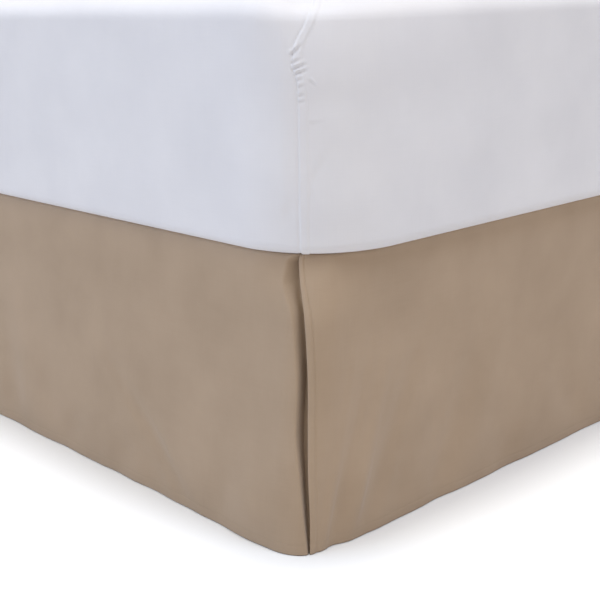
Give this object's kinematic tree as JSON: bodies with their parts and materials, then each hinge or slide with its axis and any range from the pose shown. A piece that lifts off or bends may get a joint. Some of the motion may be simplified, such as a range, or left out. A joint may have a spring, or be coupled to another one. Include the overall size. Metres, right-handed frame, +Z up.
{
  "type": "bed skirt on a bed with a mattress",
  "caption": "Tailored bed skirt with split corners, hanging on three sides of a queen foundation on legs, under a mattress in a fitted sheet.",
  "frame": {"origin": "on the floor, under the middle of the bed", "axes": "+Z up, +Y along the bed towards the head, +X to the right-hand side for someone lying on their back"},
  "size_m": [1.524, 2.0479, 0.691],
  "materials": {
    "skirt_cloth": "plain woven taupe cloth, matt",
    "deck_cloth": "plain woven platform cloth, matt",
    "sheet_cloth": "white cotton percale, soft sheen",
    "mattress_cover": "knitted mattress cover",
    "ticking": "plain foundation ticking",
    "leg_finish": "dark stained, satin"
  },
  "bodies": {
    "root": {"skirt_foot_panel": "skirt_cloth", "skirt_left_panel": "skirt_cloth", "skirt_right_panel": "skirt_cloth", "skirt_deck": "deck_cloth", "fitted_sheet": "sheet_cloth", "mattress": "mattress_cover", "foundation": "ticking", "leg_foot_left": "leg_finish", "leg_foot_right": "leg_finish", "leg_middle_left": "leg_finish", "leg_middle_right": "leg_finish", "leg_head_left": "leg_finish", "leg_head_right": "leg_finish"}
  },
  "joints": []
}
